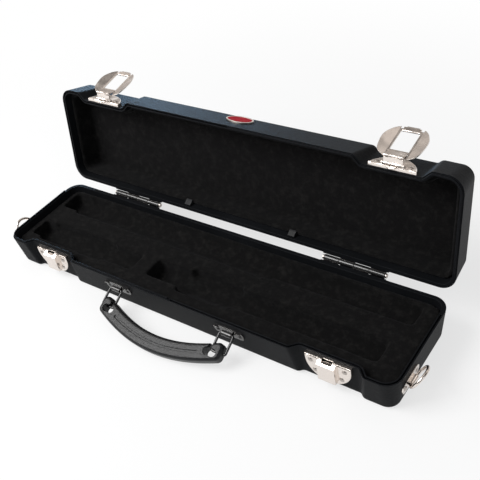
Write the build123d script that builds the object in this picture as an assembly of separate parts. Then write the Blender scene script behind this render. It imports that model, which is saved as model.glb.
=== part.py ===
from build123d import *
import math
import os

os.makedirs("parts", exist_ok=True)

# ------------------------------------------------------------------ driving dimensions, mm
# Frame: origin under the middle of the base, +X along the case, +Y to the hinges, +Z up.
LENGTH = 400.0          # over the rims
WIDTH = 93.0            # over the rims
HALF_H = 29.5           # height of one half-shell
RIM_GAP = 0.3           # between the closed rims
DRAFT = 3.7             # how far a wall leans in over its height
WALL = 3.2
CORNER_R = 13.0         # rim corner, seen from above
EDGE_R = 3.6            # outer bottom edge
OPEN_DEG = 100.5        # lid angle at its stop

RIM_MID = HALF_H + RIM_GAP / 2
LEAN = math.atan(DRAFT / HALF_H)
TURN_22 = math.tan(math.radians(22.5))

# latch recesses
LATCH_INSET = 55.0      # latch centre inside the end of the rim
RECESS_DEPTH = 6.5      # at the rim
RECESS_FLAT = 24.0      # half width of the recess floor
RECESS_R = 4.0
MOUTH_R = 5.0
LATCH_X = LENGTH / 2 - LATCH_INSET
RECESS_FLOOR = WIDTH / 2 - RECESS_DEPTH

# rim tongue and groove
TONGUE_IN = 1.05
TONGUE_T = 1.1
TONGUE_H = 1.8
GROOVE_SIDE = 0.2
GROOVE_DEPTH = TONGUE_H + 0.4
TONGUE_SHORT = 16.5     # the tongue ends this far in front of the rear rim
TONGUE_END_Y = WIDTH / 2 - TONGUE_SHORT

# hinges
HINGE_INSET = 83.0      # hinge centre inside the end of the rim
HINGE_BACK = 4.3        # axis behind the rear rim
HINGE_LEN = 54.4
KNUCKLES = 4
KNUCKLE_GAP = 0.5
BARREL_R = 2.5
HINGE_PIN_R = 1.1
HINGE_BORE_R = 1.15
LEAF_T = 1.0
LEAF_SHORT = 15.5       # the leaf is this much shorter than the wall
PAD_FACE = 1.7          # pad face behind the rear rim
PAD_OVER = 1.8          # pad beyond each end of the leaf
PAD_BREAK = 1.0
PAD_SLOPE = 5.0
PAD_ROOT = 2.8          # how deep the pad reaches into the wall
KNUCKLE_NOTCH = 3.15    # leaf cut below the axis at the other leaf's knuckles
HEEL_R = 4.4            # stop heel reach from the axis
HEEL_T = 1.0
HINGE_HEAD_R = 1.9
HINGE_HEAD_T = 1.2
LEAF_RIVET_INSET = 7.2  # from the ends of the leaf
LEAF_RIVET_UP = 3.6     # from the foot of the leaf

HINGE_Y = WIDTH / 2 + HINGE_BACK
HINGE_Z = RIM_MID
PAD_Y = WIDTH / 2 + PAD_FACE
HINGE_X = LENGTH / 2 - HINGE_INSET
LEAF_H = HALF_H - LEAF_SHORT
PAD_LEN = HINGE_LEN + 2 * PAD_OVER

# sheet metal and rivets
SHEET = 0.9
RIVET_R = 1.2
RIVET_HEAD_R = 2.1
RIVET_HEAD_H = 0.9
RIVET_FIT = 0.05

# keeper and latch plate
PLATE_STAND = 3.0       # face in front of the recess floor
PLATE_HALF = RECESS_FLAT - 5.0
PLATE_BEVEL = 0.7
KEEPER_TOP_DROP = 2.5   # below the base rim
KEEPER_FLAT = 3.5       # straight part above the half disc
CATCH_HALF = 7.25
CATCH_STAND = 3.3       # catch face in front of the plate face
CATCH_TOP_DROP = 5.1    # below the base rim
CATCH_H = 15.9
NOTCH_HALF = 4.25
NOTCH_DEPTH = 1.6
LATCH_FOOT = 0.7        # latch plate above the closed lid's rim
LATCH_PLATE_H = 15.5
TAB_R = 3.6
TAB_IN_R = 1.9

# latch link and lever
LINK_LEN = 6.2
LINK_T = 0.8
LATCH_BARREL_R = 1.0
LATCH_PIN_R = 0.5
LATCH_BORE_R = 0.55
LATCH_HEAD_R = 0.7
LINK_HALF = 7.7
LINK_FOOT = 1.9         # link axis above the foot of the latch plate
LINK_OUT = 0.8          # link axis in front of the plate face
LEVER_ROOT = 8.2
LEVER_ARM = 21.2        # bend to the inner edge of the crossbar
LEVER_TILT = 20.0
LEVER_T = 0.9
WINDOW_HALF = 7.65
WING_HALF = 18.0
WING_BEND = 15.0
CROSSBAR_H = 4.4
CROSSBAR_T = 1.7

# handle
GRIP_TILT = 25.0
GRIP_W = 14.5
GRIP_T = 10.0
GRIP_CORNER_R = 4.5     # corners of the square ends
GRIP_EDGE_R = 2.8
GRIP_OUT = 13.5         # frame of the grip in front of the front rim
GRIP_DROP = 10.2        # and below the rim
GRIP_BOW = 15.0
GRIP_REACH = 18.7
EYE_BACK = 5.0          # eye centre inside the ring centre
EYE_HALF = 6.0
EYE_W = 6.5
LEG_CLEAR = 1.75        # from the middle of a ring leg to the grip
GROOVE_W = 1.8
GROOVE_T = 1.0
GROOVE_SHORT = 15.0     # the groove ends this far inside the ring centre
BAR_S = 5.0             # ring bar across the grip

HANDLE_SHARE = 0.1475   # ring centre from the middle, as a share of the length
HANDLE_OUT = 2.0        # ring axis in front of the front rim
HANDLE_DROP = 9.5       # and below the rim
HANDLE_RING_W = 13.0
HANDLE_WIRE_R = 1.1
HANDLE_CORNER_R = 1.7
HANDLE_FIT = 0.08
BRACKET_HALF = 14.0
BRACKET_H = 9.0
BRACKET_CORNER_R = 3.2
BRACKET_LIP = 1.7
BRACKET_RIVET_X = 10.6
BRACKET_RIVET_DROP = 0.8
BRIDGE_R = 2.1
HANDLE_X = LENGTH * HANDLE_SHARE
HANDLE_Y = -(WIDTH / 2 + HANDLE_OUT)
HANDLE_Z = HALF_H - HANDLE_DROP
GRIP_Y = -(WIDTH / 2 + GRIP_OUT)
GRIP_Z = HALF_H - GRIP_DROP
GRIP_END = HANDLE_X + HANDLE_RING_W / 2 - LEG_CLEAR
EYE_X = HANDLE_X - EYE_BACK
GROOVE_HALF = HANDLE_X - GROOVE_SHORT

# strap rings
STRAP_INSET = 25.0      # ring centre behind the front rim
STRAP_Z = HALF_H / 2 - 0.25
STRAP_Y = -(WIDTH / 2 - STRAP_INSET)
STRAP_UP = 55.0
STRAP_WIRE_R = 1.2
STRAP_RING_R = 9.1
STRAP_BAR_TO_CENTRE = 7.6
STRAP_STAND = 3.0
STRAP_PLATE_L = 26.0
STRAP_PLATE_W = 12.0
STRAP_PLATE_T = 1.0
STRAP_FIT = 0.08
STRAP_BRIDGE_R = 2.2
STRAP_BRIDGE_HALF = 4.1
STRAP_CORNER_R = 2.0
STRAP_RIVET_X = 9.2

# linings
LINING_FIT = 0.4
INSERT_DROP = 5.5       # insert top below the base rim
LID_LINING_T = 3.0
LID_LEDGE_DROP = 5.7    # ledge of the lid lining inside the rim
LID_LEDGE_T = 3.5
LUG_L = 6.4
LUG_W = 4.2
LUG_H = 4.2
LUG_X = LENGTH * 0.14

# cavities of the insert, each set by its place from the walls
CAVITY_DEPTH = 19.0     # below the base rim
SHELF_DEPTH = 13.5
BODY_START = 10.0        # cavities and shelves from the ends of the case
BODY_STOP = 18.0
BODY_SHELF_START = 30.0
BODY_SHELF_NEAR = 13.5   # sides of each shelf from the middle of its cavity
BODY_SHELF_FAR = 11.5
HEAD_STOP = 25.0
HEAD_SHELF_NEAR = 15.0
HEAD_SHELF_FAR = 14.0
HEAD_SHELF_EXTRA = 1.5
FOOT_START = 11.0
FOOT_SHELF_START = 24.0
FOOT_SHELF_NEAR = 13.0
FOOT_SHELF_FAR = 12.0
BODY_R = 10.5
BODY_INSET = 18.5       # axis inside the rear rim
HEAD_R = 10.25
HEAD_INSET = 31.5       # axis inside the front rim
FOOT_R = 10.0
FOOT_INSET = 29.5

# badge
BADGE_L = 26.0
BADGE_W = 16.0
BADGE_T = 1.0
BADGE_FACE_T = 0.7
BADGE_BORDER = 1.3
BADGE_DROP = 11.3       # centre inside the far edge of the front wall
BADGE_X = -1.5          # stuck on slightly to one side
BADGE_Z = RIM_MID + HALF_H - BADGE_DROP
BADGE_FIT = 0.02

SIDES = {"left": -1, "right": 1}


# ------------------------------------------------------------------ small helpers
def save(name, *solids):
    """Write one node."""
    shape = solids[0] if len(solids) == 1 else Compound(children=list(solids))
    export_step(shape, f"parts/{name}.step")


def one(shape):
    """The single solid of a shape."""
    found = shape.solids()
    assert len(found) == 1, f"{len(found)} solids"
    return found[0]


def yz_prism(points, x0, x1):
    """Prism along X whose outline lies in the YZ plane."""
    outline = make_face(Polyline(*points, close=True))
    return extrude(Plane.YZ.offset(x0) * outline, amount=x1 - x0)


def bar_x(y, z, radius, x0, x1):
    """Round bar along X."""
    return extrude(Plane.YZ.offset(x0) * Pos(y, z) * Circle(radius), amount=x1 - x0)


def block(x0, x1, y0, y1, z0, z1):
    """Box between two corners."""
    return Pos((x0 + x1) / 2, (y0 + y1) / 2, (z0 + z1) / 2) * Box(x1 - x0, y1 - y0, z1 - z0)


def opened(shape):
    """Turn a lid piece from the closed position to the open rest position."""
    return shape.rotate(Axis((0, HINGE_Y, HINGE_Z), (1, 0, 0)), -OPEN_DEG)


def turned_over(shape):
    """Turn a base moulding over to become a closed lid moulding."""
    return shape.rotate(Axis((0, 0, RIM_MID), (0, 1, 0)), 180)


def lid_z(z):
    """Height on the closed lid that matches height z on the base."""
    return 2 * RIM_MID - z


def rivet(grip):
    """Domed rivet: seat on z = 0, shank of the given length below it."""
    sphere_r = (RIVET_HEAD_R ** 2 + RIVET_HEAD_H ** 2) / (2 * RIVET_HEAD_H)
    ball = Pos(0, 0, RIVET_HEAD_H - sphere_r) * Sphere(sphere_r)
    head = ball & Pos(0, 0, RIVET_HEAD_H) * Box(9, 9, 2 * RIVET_HEAD_H)
    shank = Pos(0, 0, -grip / 2) * Cylinder(RIVET_R, grip)
    return one(head + shank)


def rivet_hole(depth):
    """Cutter for a rivet shank below z = 0."""
    return Pos(0, 0, 0.5 - depth / 2) * Cylinder(RIVET_R + RIVET_FIT, depth + 1)


def wire_loop(face, wire_r):
    """Round wire bent along the outline of a flat face."""
    path = face.faces()[0].outer_wire()
    start = Plane(origin=path @ 0, z_dir=path % 0)
    return sweep(start * Circle(wire_r), path=path)


# ------------------------------------------------------------------ shells
def shrink(z):
    """How far the outer wall has leaned in at a height of the base."""
    return DRAFT * (1 - z / HALF_H)


def rounded(face, points, radius):
    """Round the corners of a flat face that lie at the given points."""
    near = [v for v in face.vertices() if min(math.dist((v.X, v.Y), p) for p in points) < 0.01]
    return fillet(near, radius)


def plan(z, inset=0.0):
    """Outline of the base moulding at height z, moved inwards by inset."""
    half_l = LENGTH / 2 - shrink(z) - inset
    half_w = WIDTH / 2 - shrink(z) - inset
    floor = RECESS_FLOOR - inset
    flat = RECESS_FLAT + inset * TURN_22
    mouth = flat + half_w - floor
    mouths = [(c + s * mouth, -half_w) for c in (-LATCH_X, LATCH_X) for s in (-1, 1)]
    floors = [(c + s * flat, -floor) for c in (-LATCH_X, LATCH_X) for s in (-1, 1)]
    front = [mouths[0], floors[0], floors[1], mouths[1], mouths[2], floors[2], floors[3], mouths[3]]
    corners = [(-half_l, -half_w), (half_l, -half_w), (half_l, half_w), (-half_l, half_w)]
    face = make_face(Polyline(corners[0], *front, corners[1], corners[2], corners[3], close=True))
    face = rounded(face, corners, max(CORNER_R - shrink(z) - inset, 1.0))
    face = rounded(face, mouths, max(MOUTH_R - inset, 0.8))
    face = rounded(face, floors, min(RECESS_R + inset, 7.6))
    return Pos(0, 0, z) * face


def hull_between(z0, z1, inset=0.0):
    """Solid that follows the leaning walls between two heights."""
    return loft([plan(z0, inset), plan(z1, inset)], ruled=True)


def rim_band(x_sign, side, z0, z1):
    """Band that follows the rim on one half of the front and one end."""
    ring = Pos(0, 0, z0 - HALF_H) * extrude(plan(HALF_H, TONGUE_IN - side), amount=z1 - z0)
    core = Pos(0, 0, z0 - HALF_H) * extrude(plan(HALF_H, TONGUE_IN + TONGUE_T + side), amount=z1 - z0)
    near = 1.0 - side
    x0, x1 = sorted((x_sign * near, x_sign * LENGTH))
    keep = block(x0, x1, -WIDTH, TONGUE_END_Y + 4 * side, z0 - 1, z1 + 1)
    return (ring - core) & keep


def hinge_pad(x):
    """Thickened rear wall under a hinge leaf."""
    low = HALF_H - LEAF_H - PAD_OVER
    root = WIDTH / 2 - PAD_ROOT
    points = [(root, HALF_H), (PAD_Y - PAD_BREAK, HALF_H), (PAD_Y, HALF_H - PAD_BREAK)]
    points += [(PAD_Y, low), (root + 0.2, low - PAD_SLOPE), (root, low - PAD_SLOPE)]
    return yz_prism(points, x - PAD_LEN / 2, x + PAD_LEN / 2)


def moulding():
    """One half-shell with its tongue on -X and its groove on +X."""
    body = hull_between(HALF_H, 0.0)
    body = fillet(body.edges().filter_by_position(Axis.Z, -0.01, 0.01), EDGE_R)
    for x in (-HINGE_X, HINGE_X):
        body += hinge_pad(x)
    body -= hull_between(HALF_H + 1.0, WALL, WALL)
    body += rim_band(-1, 0.0, HALF_H - 0.5, HALF_H + TONGUE_H)
    body -= rim_band(1, GROOVE_SIDE, HALF_H - GROOVE_DEPTH, HALF_H + 1.0)
    return one(body)


# ------------------------------------------------------------------ places of the rivets
def hinge_rivet_places():
    """Rivet frames on the base's hinge pads."""
    places = []
    for x in (-HINGE_X, HINGE_X):
        for share in (-1, 0, 1):
            dx = share * (HINGE_LEN / 2 - LEAF_RIVET_INSET)
            origin = (x + dx, PAD_Y + LEAF_T, HINGE_Z - LEAF_H + LEAF_RIVET_UP)
            places.append(Plane(origin=origin, x_dir=(1, 0, 0), z_dir=(0, 1, 0)))
    return places


def plate_rivet_places(z_up):
    """Rivet frames on the face of a keeper or latch plate, at two heights."""
    places = []
    for x in (-LATCH_X, LATCH_X):
        for dx, z in z_up:
            for s in (-1, 1):
                origin = (x + s * dx, -RECESS_FLOOR - PLATE_STAND, z)
                places.append(Plane(origin=origin, x_dir=(1, 0, 0), z_dir=(0, -1, 0)))
    return places


def front_frame(x, z, out=0.0):
    """Frame on the leaning front wall of the base, z axis outwards."""
    normal = Vector(0, -math.cos(LEAN), -math.sin(LEAN))
    origin = Vector(x, -(WIDTH / 2 - shrink(z)), z) + normal * out
    return Plane(origin=origin, x_dir=(1, 0, 0), z_dir=normal)


def end_frame(side, y, z, out=0.0):
    """Frame on a leaning end wall of the base, x axis along Y, z axis outwards."""
    normal = Vector(side * math.cos(LEAN), 0, -math.sin(LEAN))
    origin = Vector(side * (LENGTH / 2 - shrink(z)), y, z) + normal * out
    return Plane(origin=origin, x_dir=(0, side, 0), z_dir=normal)


def lid_front_frame(x, z, out=0.0):
    """Frame on the leaning front wall of the closed lid, z axis outwards."""
    normal = Vector(0, -math.cos(LEAN), math.sin(LEAN))
    origin = Vector(x, -(WIDTH / 2 - shrink(lid_z(z))), z) + normal * out
    return Plane(origin=origin, x_dir=(1, 0, 0), z_dir=normal)


def bracket_rivet_places():
    """Rivet frames on the handle brackets."""
    spots = [x + s * BRACKET_RIVET_X for x in (-HANDLE_X, HANDLE_X) for s in (-1, 1)]
    return [front_frame(spot, HANDLE_Z - BRACKET_RIVET_DROP, SHEET) for spot in spots]


def strap_rivet_places():
    """Rivet frames on the strap ring plates."""
    sides = [(side, s) for side in (-1, 1) for s in (-1, 1)]
    return [end_frame(side, STRAP_Y + s * STRAP_RIVET_X, STRAP_Z, STRAP_PLATE_T) for side, s in sides]


KEEPER_TOP = HALF_H - KEEPER_TOP_DROP
DISC_Z = KEEPER_TOP - KEEPER_FLAT
LATCH_Z = HALF_H + RIM_GAP + LATCH_FOOT
KEEPER_SPOTS = [(PLATE_HALF - 5.0, DISC_Z - 1.0), (PLATE_HALF - 8.0, DISC_Z - 10.5)]
LATCH_SPOTS = [(PLATE_HALF - 5.4, LATCH_Z + 4.2)]
PLATE_GRIP = PLATE_STAND + 2.4
WALL_GRIP = SHEET + 2.3
LEAF_GRIP = LEAF_T + 3.0
STRAP_GRIP = STRAP_PLATE_T + 2.3


def base_shell(half):
    """Base moulding with the rivet holes of its hardware."""
    body = half
    for place in hinge_rivet_places():
        body -= place * rivet_hole(LEAF_GRIP + 0.3)
    for place in plate_rivet_places(KEEPER_SPOTS):
        body -= place * rivet_hole(PLATE_GRIP + 0.3)
    for place in bracket_rivet_places():
        body -= place * rivet_hole(WALL_GRIP + 0.3)
    for place in strap_rivet_places():
        body -= place * rivet_hole(STRAP_GRIP + 0.3)
    return one(body)


def lid_shell(half):
    """Closed lid moulding with the rivet holes of its hardware."""
    body = half
    for place in hinge_rivet_places():
        body -= place * rivet_hole(LEAF_GRIP + 0.3)
    body = turned_over(body)
    for place in plate_rivet_places(LATCH_SPOTS):
        body -= place * rivet_hole(PLATE_GRIP + 0.3)
    return one(body)


# ------------------------------------------------------------------ hinges
def knuckle_spans(x):
    """Start and end of each knuckle of a hinge."""
    pitch = HINGE_LEN / KNUCKLES
    start = x - HINGE_LEN / 2
    gap = KNUCKLE_GAP / 2
    return [(start + i * pitch + gap, start + (i + 1) * pitch - gap) for i in range(KNUCKLES)]


def base_leaf(x, own):
    """Hinge leaf on the base: flat plate, its own knuckles, notches for the others."""
    half = HINGE_LEN / 2
    spans = knuckle_spans(x)
    leaf = block(x - half, x + half, PAD_Y, PAD_Y + LEAF_T, HINGE_Z - LEAF_H, HINGE_Z)
    corners = leaf.edges().filter_by(Axis.Y).group_by(Axis.Z)[0]
    leaf = fillet(corners, 3.0)
    for i, (x0, x1) in enumerate(spans):
        if i in own:
            leaf += bar_x(HINGE_Y, HINGE_Z, BARREL_R, x0, x1)
        else:
            notch_z = HINGE_Z - KNUCKLE_NOTCH
            cut0 = x0 - KNUCKLE_GAP
            cut1 = x1 + KNUCKLE_GAP
            leaf -= block(cut0, cut1, PAD_Y - 1, HINGE_Y + 4, notch_z, HINGE_Z + 4)
    leaf -= bar_x(HINGE_Y, HINGE_Z, HINGE_BORE_R, x - half - 1, x + half + 1)
    for place in hinge_rivet_places():
        if abs(place.origin.X - x) < half:
            leaf -= place * rivet_hole(LEAF_T + 1)
    return one(leaf)


def stop_heel(x0, x1, angle):
    """Tooth on a barrel, pointing at an angle from +Y in the YZ plane."""
    tooth = block(x0 + 0.6, x1 - 0.6, BARREL_R - 0.4, HEEL_R, -HEEL_T / 2, HEEL_T / 2)
    return Pos(0, HINGE_Y, HINGE_Z) * Rot(angle, 0, 0) * tooth


def lid_leaf(x):
    """Hinge leaf on the closed lid, with the heels that stop the lid when it is open."""
    leaf = base_leaf(-x, (0, 2))
    leaf = turned_over(leaf)
    reach = HINGE_BACK - PAD_FACE - LEAF_T
    stop = -180 + math.degrees(math.acos(reach / HEEL_R))
    angle = stop + OPEN_DEG + math.degrees((HEEL_T / 2 + 0.12) / HEEL_R)
    for i in (1, 3):
        x0, x1 = knuckle_spans(x)[i]
        leaf += stop_heel(x0, x1, angle)
    leaf -= bar_x(HINGE_Y, HINGE_Z, HINGE_BORE_R, x - HINGE_LEN, x + HINGE_LEN)
    return one(leaf)


def hinge_pin(x):
    """Hinge pin with a head at each end."""
    half = HINGE_LEN / 2
    pin = bar_x(HINGE_Y, HINGE_Z, HINGE_PIN_R, x - half - 0.3, x + half + 0.3)
    for s in (-1, 1):
        near = x + s * (half + 0.15)
        far = near + s * HINGE_HEAD_T
        pin += bar_x(HINGE_Y, HINGE_Z, HINGE_HEAD_R, min(near, far), max(near, far))
    return one(pin)


# ------------------------------------------------------------------ keeper and latch plate
def cup(face):
    """Pressed plate: the outline stands off the wall, its edge is folded back to the wall."""
    solid = extrude(face, amount=PLATE_STAND)
    solid = chamfer(solid.edges().group_by(Axis.Y)[0], PLATE_BEVEL)
    hollow = extrude(offset(face, -SHEET), amount=PLATE_STAND - SHEET)
    return solid - hollow


def plate_plane(x, z):
    """Frame on the recess floor, z axis outwards."""
    return Plane(origin=(x, -RECESS_FLOOR, z), x_dir=(1, 0, 0), z_dir=(0, -1, 0))


def keeper_outline(x):
    """Half disc under a short straight strip."""
    strip = Pos(0, KEEPER_FLAT / 2) * Rectangle(2 * PLATE_HALF, KEEPER_FLAT)
    disc = Circle(PLATE_HALF) & Pos(0, -PLATE_HALF) * Rectangle(3 * PLATE_HALF, 2 * PLATE_HALF)
    return plate_plane(x, DISC_Z) * (strip + disc)


def keeper(x):
    """Catch plate with a raised catch that is open below."""
    plate = cup(keeper_outline(x))
    face_y = -RECESS_FLOOR - PLATE_STAND
    top = HALF_H - CATCH_TOP_DROP
    low = top - CATCH_H
    out = face_y - CATCH_STAND
    slope = KEEPER_TOP - 0.6
    shape = [(face_y + SHEET, slope), (face_y, slope), (out, top), (out, low), (face_y + SHEET, low)]
    inner = [(face_y + 3, slope - 1.3), (face_y, slope - 1.3), (out + SHEET, top - 0.6)]
    inner += [(out + SHEET, low - 1), (face_y + 3, low - 1)]
    plate += yz_prism(shape, x - CATCH_HALF, x + CATCH_HALF)
    plate -= yz_prism(inner, x - CATCH_HALF + SHEET, x + CATCH_HALF - SHEET)
    notch_y = -RECESS_FLOOR - PLATE_STAND + 2.0
    notch = block(x - NOTCH_HALF, x + NOTCH_HALF, out, notch_y, KEEPER_TOP - NOTCH_DEPTH, HALF_H)
    plate -= notch
    for place in plate_rivet_places(KEEPER_SPOTS):
        if abs(place.origin.X - x) < PLATE_HALF:
            plate -= place * rivet_hole(PLATE_STAND + 1)
    return one(plate)


AXIS_A = (-RECESS_FLOOR - PLATE_STAND - LINK_OUT, LATCH_Z + LINK_FOOT)


def latch_outline(x):
    """Round segment over the foot line."""
    foot = Line((-PLATE_HALF, 0), (PLATE_HALF, 0))
    arc = ThreePointArc((PLATE_HALF, 0), (0, LATCH_PLATE_H), (-PLATE_HALF, 0))
    return plate_plane(x, LATCH_Z) * make_face(foot + arc)


def latch_plate(x):
    """Plate on the lid with two ears for the link and a ring-shaped locating tab."""
    plate = cup(latch_outline(x))
    y_a, z_a = AXIS_A
    slot_half = LINK_HALF + 0.3
    face_y = -RECESS_FLOOR - PLATE_STAND
    low = LATCH_Z + 0.7
    plate -= block(x - slot_half, x + slot_half, face_y - 1, -RECESS_FLOOR - 0.9, low, z_a + 1.6)
    for s in (-1, 1):
        x0 = x + s * slot_half
        x1 = x + s * (slot_half + 0.9)
        ear = bar_x(y_a, z_a, 1.45, min(x0, x1), max(x0, x1))
        ear += block(min(x0, x1), max(x0, x1), y_a, face_y + 0.5, z_a - 1.45, z_a + 1.45)
        plate += ear
    plate -= bar_x(y_a, z_a, LATCH_BORE_R, x - 12, x + 12)
    tab_face = Circle(TAB_R) - Circle(TAB_IN_R)
    tab_face &= Pos(0, -TAB_R) * Rectangle(4 * TAB_R, 2 * TAB_R)
    tab_plane = Plane(origin=(x, face_y + SHEET, LATCH_Z), x_dir=(1, 0, 0), z_dir=(0, -1, 0))
    stems = [Pos(s * (TAB_R + TAB_IN_R) / 2, 0.3) * Rectangle(TAB_R - TAB_IN_R, 0.8) for s in (-1, 1)]
    plate += extrude(tab_plane * (tab_face + stems[0] + stems[1]), amount=SHEET)
    for place in plate_rivet_places(LATCH_SPOTS):
        if abs(place.origin.X - x) < PLATE_HALF:
            plate -= place * rivet_hole(PLATE_STAND + 1)
    return one(plate)


# ------------------------------------------------------------------ latch link and lever
OPEN_LINK_DEG = 180.0 - 1.4


def polar(centre, length, degrees):
    """Point in the YZ plane at a distance and angle from a centre."""
    angle = math.radians(degrees)
    return (centre[0] + length * math.cos(angle), centre[1] + length * math.sin(angle))


AXIS_B = polar(AXIS_A, LINK_LEN, OPEN_LINK_DEG)
BEND = (AXIS_B[0], AXIS_B[1] + LEVER_ROOT)
HINGE_SPLIT = 3.5       # half length of the link's knuckle at the lever


def strip(p, q, thick):
    """Outline of a straight strip of sheet between two points in the YZ plane."""
    length = math.dist(p, q)
    ny = (q[1] - p[1]) / length * thick / 2
    nz = -(q[0] - p[0]) / length * thick / 2
    a = (p[0] + ny, p[1] + nz)
    b = (q[0] + ny, q[1] + nz)
    c = (q[0] - ny, q[1] - nz)
    d = (p[0] - ny, p[1] - nz)
    return [a, b, c, d]


def latch_link(x):
    """Short link between the latch plate and the lever, in the open position."""
    y_a, z_a = AXIS_A
    y_b, z_b = AXIS_B
    wide_end = polar(AXIS_A, LINK_LEN - LATCH_BARREL_R - 0.45, OPEN_LINK_DEG)
    link = bar_x(y_a, z_a, LATCH_BARREL_R, x - LINK_HALF, x + LINK_HALF)
    link += yz_prism(strip(AXIS_A, wide_end, LINK_T), x - LINK_HALF, x + LINK_HALF)
    link += yz_prism(strip(AXIS_A, AXIS_B, LINK_T), x - HINGE_SPLIT, x + HINGE_SPLIT)
    link += bar_x(y_b, z_b, LATCH_BARREL_R, x - HINGE_SPLIT, x + HINGE_SPLIT)
    link -= bar_x(y_a, z_a, LATCH_BORE_R, x - 12, x + 12)
    link -= bar_x(y_b, z_b, LATCH_BORE_R, x - 12, x + 12)
    return one(link)


def latch_pin(x, axis, half):
    """Pin of the latch with flattened ends."""
    pin = bar_x(axis[0], axis[1], LATCH_PIN_R, x - half - 0.2, x + half + 0.2)
    for s in (-1, 1):
        ends = sorted((x + s * (half + 0.1), x + s * (half + 0.7)))
        pin += bar_x(axis[0], axis[1], LATCH_HEAD_R, ends[0], ends[1])
    return one(pin)


def arm_plane(x):
    """Frame of the lever's oval: origin on the bend, y along the arms, z to the outer face."""
    tilt = math.radians(LEVER_TILT)
    normal = (0, -math.cos(tilt), -math.sin(tilt))
    return Plane(origin=(x, BEND[0], BEND[1]), x_dir=(1, 0, 0), z_dir=normal)


def wing(side):
    """One wing of the lever in the arm frame, bent out of the arms."""
    fold = WINDOW_HALF + 1.6
    reach = (WING_HALF - fold) / math.cos(math.radians(WING_BEND))
    ends = [(0, -6.2), (reach * 0.44, -4.6), (reach * 0.9, 2.2), (reach, 8.8)]
    ends += [(reach * 0.93, 14.4), (reach * 0.62, 20.0), (reach * 0.22, 24.2), (0, 25.4)]
    edge = Spline(*ends[1:-1], tangents=[(1.0, 0.35), (-0.8, 0.75)])
    outline = Line(ends[0], ends[1]) + edge + Line(ends[-2], ends[-1]) + Line(ends[-1], ends[0])
    blank = extrude(make_face(outline), amount=LEVER_T / 2, both=True)
    right = Pos(fold, 0, 0) * Rot(0, -WING_BEND, 0) * blank
    return right if side > 0 else mirror(right, Plane.YZ)


def latch_lever(x):
    """Oval lever with a window, in the open position."""
    y_b, z_b = AXIS_B
    lever = yz_prism(strip(AXIS_B, BEND, LEVER_T), x - WINDOW_HALF, x + WINDOW_HALF)
    relief = LATCH_BARREL_R + 0.3
    cut = block(x - HINGE_SPLIT - 0.3, x + HINGE_SPLIT + 0.3, y_b - 3, y_b + 3, z_b - 3, z_b + relief)
    for s in (-1, 1):
        ends = sorted((x + s * (HINGE_SPLIT + 0.2), x + s * WINDOW_HALF))
        lever += bar_x(y_b, z_b, LATCH_BARREL_R, ends[0], ends[1])
    lever -= cut
    plane = arm_plane(x)
    outer = WINDOW_HALF + 1.8
    top = LEVER_ARM + 2.2
    frame = block(-outer, outer, -6.0, top, -LEVER_T / 2, LEVER_T / 2)
    frame -= block(-WINDOW_HALF, WINDOW_HALF, 0.9, LEVER_ARM, -3, 3)
    slit = block(-WINDOW_HALF - 0.35, WINDOW_HALF + 0.35, -9, -0.3, -3, 3)
    frame -= slit
    frame += wing(1) + wing(-1)
    frame -= slit
    bar = block(-6.8, 6.8, LEVER_ARM, LEVER_ARM + CROSSBAR_H, -CROSSBAR_T / 2, CROSSBAR_T / 2)
    bar = fillet(bar.edges().filter_by(Axis.X), 0.7)
    lip = block(-5.0, 5.0, LEVER_ARM + CROSSBAR_H - 0.6, LEVER_ARM + CROSSBAR_H + 0.9, -0.35, 0.35)
    frame += bar
    frame += lip
    lever += plane * frame
    lever -= bar_x(y_b, z_b, LATCH_BORE_R, x - 12, x + 12)
    return one(lever)


# ------------------------------------------------------------------ handle
def grip_plane():
    """Frame of the grip: x along the case, y away from it, z off the upper face."""
    tilt = math.radians(GRIP_TILT)
    normal = (0, -math.sin(tilt), math.cos(tilt))
    return Plane(origin=(0, GRIP_Y, GRIP_Z), x_dir=(-1, 0, 0), z_dir=normal)


def grip_line(x):
    """Distance of the grip's centre line from its frame's x axis."""
    u = x / (HANDLE_X + 1.0)
    return GRIP_REACH - GRIP_BOW * u ** 2 + u ** 4


def grip_edge(offset_by, x0, x1, count=9):
    """Points along a line parallel to the grip's centre line."""
    points = []
    for i in range(count):
        x = x0 + (x1 - x0) * i / (count - 1)
        slope = (grip_line(x + 0.01) - grip_line(x - 0.01)) / 0.02
        length = math.hypot(1, slope)
        points.append((x - offset_by * slope / length, grip_line(x) + offset_by / length))
    return points


def bar_point():
    """Point of the grip's ring bar in the YZ plane."""
    point = grip_plane().from_local_coords(Vector(0, BAR_S, -GRIP_T / 2))
    return (point.Y, point.Z)


def grip_bar():
    """Bowed bar with square ends, rounded at its corners and along its edges."""
    half = GRIP_W / 2
    reach = GRIP_END + GRIP_W
    outer = grip_edge(half, -reach, reach, 11)
    inner = grip_edge(-half, reach, -reach, 11)
    closing = Line(outer[-1], inner[0]) + Line(inner[-1], outer[0])
    outline = make_face(Spline(*outer) + Spline(*inner) + closing)
    outline &= Rectangle(2 * GRIP_END, 2 * reach)
    outline = fillet(outline.vertices(), GRIP_CORNER_R)
    bar = Pos(0, 0, -GRIP_T) * extrude(outline, amount=GRIP_T)
    rims = bar.edges().group_by(Axis.Z)
    return fillet(rims[0] + rims[-1], GRIP_EDGE_R)


def grip_groove():
    """Groove along the middle of the grip's upper face."""
    far = grip_edge(GROOVE_W / 2, -GROOVE_HALF, GROOVE_HALF)
    near = grip_edge(-GROOVE_W / 2, GROOVE_HALF, -GROOVE_HALF)
    closing = Line(far[-1], near[0]) + Line(near[-1], far[0])
    face = make_face(Spline(*far) + Spline(*near) + closing)
    return Pos(0, 0, -GROOVE_T) * extrude(face, amount=2 * GROOVE_T)


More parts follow.
